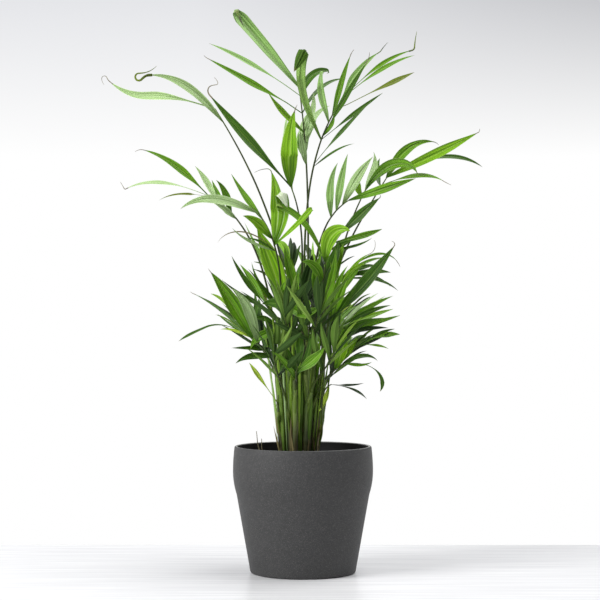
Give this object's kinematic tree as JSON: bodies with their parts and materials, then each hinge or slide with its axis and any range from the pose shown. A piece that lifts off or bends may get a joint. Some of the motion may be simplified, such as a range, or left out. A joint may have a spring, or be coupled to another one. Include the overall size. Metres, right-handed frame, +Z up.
{
  "type": "parlour palm in a pot",
  "caption": "Young parlour palm: a clump of thin upright stems with arching fronds of narrow leaflets, standing in a round tapered pot with a soft rim.",
  "frame": {"origin": "centre of the pot's flat underside", "axes": "+X to the right of the front view, +Y away from the viewer, +Z up"},
  "size_m": [0.3887, 0.216, 0.5653],
  "materials": {
    "pot": "matte charcoal grey with a fine granite speckle, nearly black inside",
    "soil": "dark moist potting soil, matt and crumbly",
    "stem": "dull green cane, brown at its foot",
    "frond": "satin green leaf with fine lengthwise ribs, paler below"
  },
  "bodies": {
    "root": {"frond_arched": "frond", "frond_back_high_1": "frond", "frond_back_high_2": "frond", "frond_back_low_2": "frond", "frond_back_low_3": "frond", "frond_back_low_5": "frond", "frond_back_middle_1": "frond", "frond_back_middle_2": "frond", "frond_back_middle_3": "frond", "frond_bright_left": "frond", "frond_broad_left": "frond", "frond_centre": "frond", "frond_centre_right": "frond", "frond_far_left": "frond", "frond_forked": "frond", "frond_front_boat": "frond", "frond_front_high_1": "frond", "frond_front_high_2": "frond", "frond_front_low": "frond", "frond_front_middle_1": "frond", "frond_front_middle_3": "frond", "frond_left_big": "frond", "frond_left_low": "frond", "frond_left_lowest": "frond", "frond_left_upper": "frond", "frond_mid_left": "frond", "frond_right_big": "frond", "frond_right_dark": "frond", "frond_right_drooping": "frond", "frond_right_fine": "frond", "frond_right_folded": "frond", "frond_right_high": "frond", "frond_right_inner": "frond", "frond_right_low": "frond", "frond_right_lowest": "frond", "frond_right_spray": "frond", "frond_top_left": "frond", "frond_top_right": "frond", "pot": "pot", "soil": "soil", "stem_01": "stem", "stem_02": "stem", "stem_03": "stem", "stem_04": "stem", "stem_05": "stem", "stem_06": "stem", "stem_07": "stem", "stem_08": "stem", "stem_09": "stem", "stem_10": "stem", "stem_11": "stem", "stem_12": "stem", "stem_13": "stem", "stem_14": "stem", "stem_15": "stem", "stem_16": "stem"}
  },
  "joints": []
}
